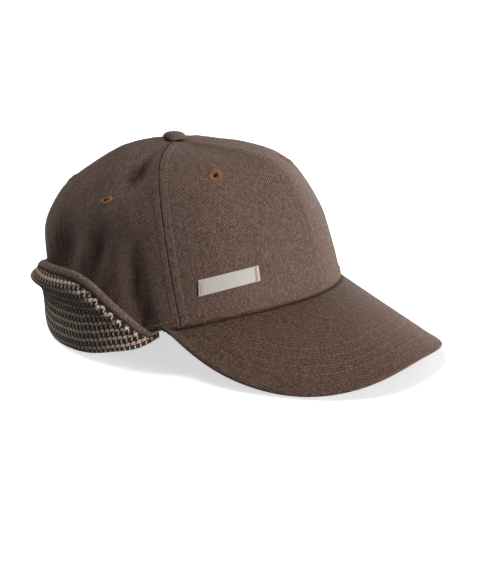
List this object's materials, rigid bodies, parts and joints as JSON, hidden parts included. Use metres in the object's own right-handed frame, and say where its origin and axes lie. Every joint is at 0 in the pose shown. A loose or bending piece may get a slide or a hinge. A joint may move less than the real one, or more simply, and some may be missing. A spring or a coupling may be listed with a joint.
{
  "type": "earflap baseball cap",
  "caption": "Soft panelled cap with a curved stiff peak, a covered top button, sewn air eyelets and a houndstooth-lined ear and neck flap turned up round the back.",
  "frame": {"origin": "centre of the bounding box's underside, on the table that the cap rests on", "axes": "front of the cap -Y, wearer's left +X, up +Z"},
  "size_m": [0.1924, 0.2741, 0.125],
  "materials": {
    "brown_twill": "brown heather twill, matt",
    "houndstooth": "woven houndstooth in taupe and near black, matt",
    "tan_thread": "tan sewing thread, satin",
    "label_cloth": "off-white woven tape, matt"
  },
  "bodies": {
    "root": {"front_left_panel": "brown_twill", "side_left_panel": "brown_twill", "back_left_panel": "brown_twill", "front_right_panel": "brown_twill", "side_right_panel": "brown_twill", "back_right_panel": "brown_twill", "eyelet_front_left": "tan_thread", "eyelet_side_left": "tan_thread", "eyelet_back_left": "tan_thread", "eyelet_front_right": "tan_thread", "eyelet_side_right": "tan_thread", "eyelet_back_right": "tan_thread", "top_button": "brown_twill", "peak": "brown_twill", "earflap_shell": "brown_twill", "earflap_lining": "houndstooth", "earflap_edge": "brown_twill", "label": "label_cloth"}
  },
  "joints": []
}
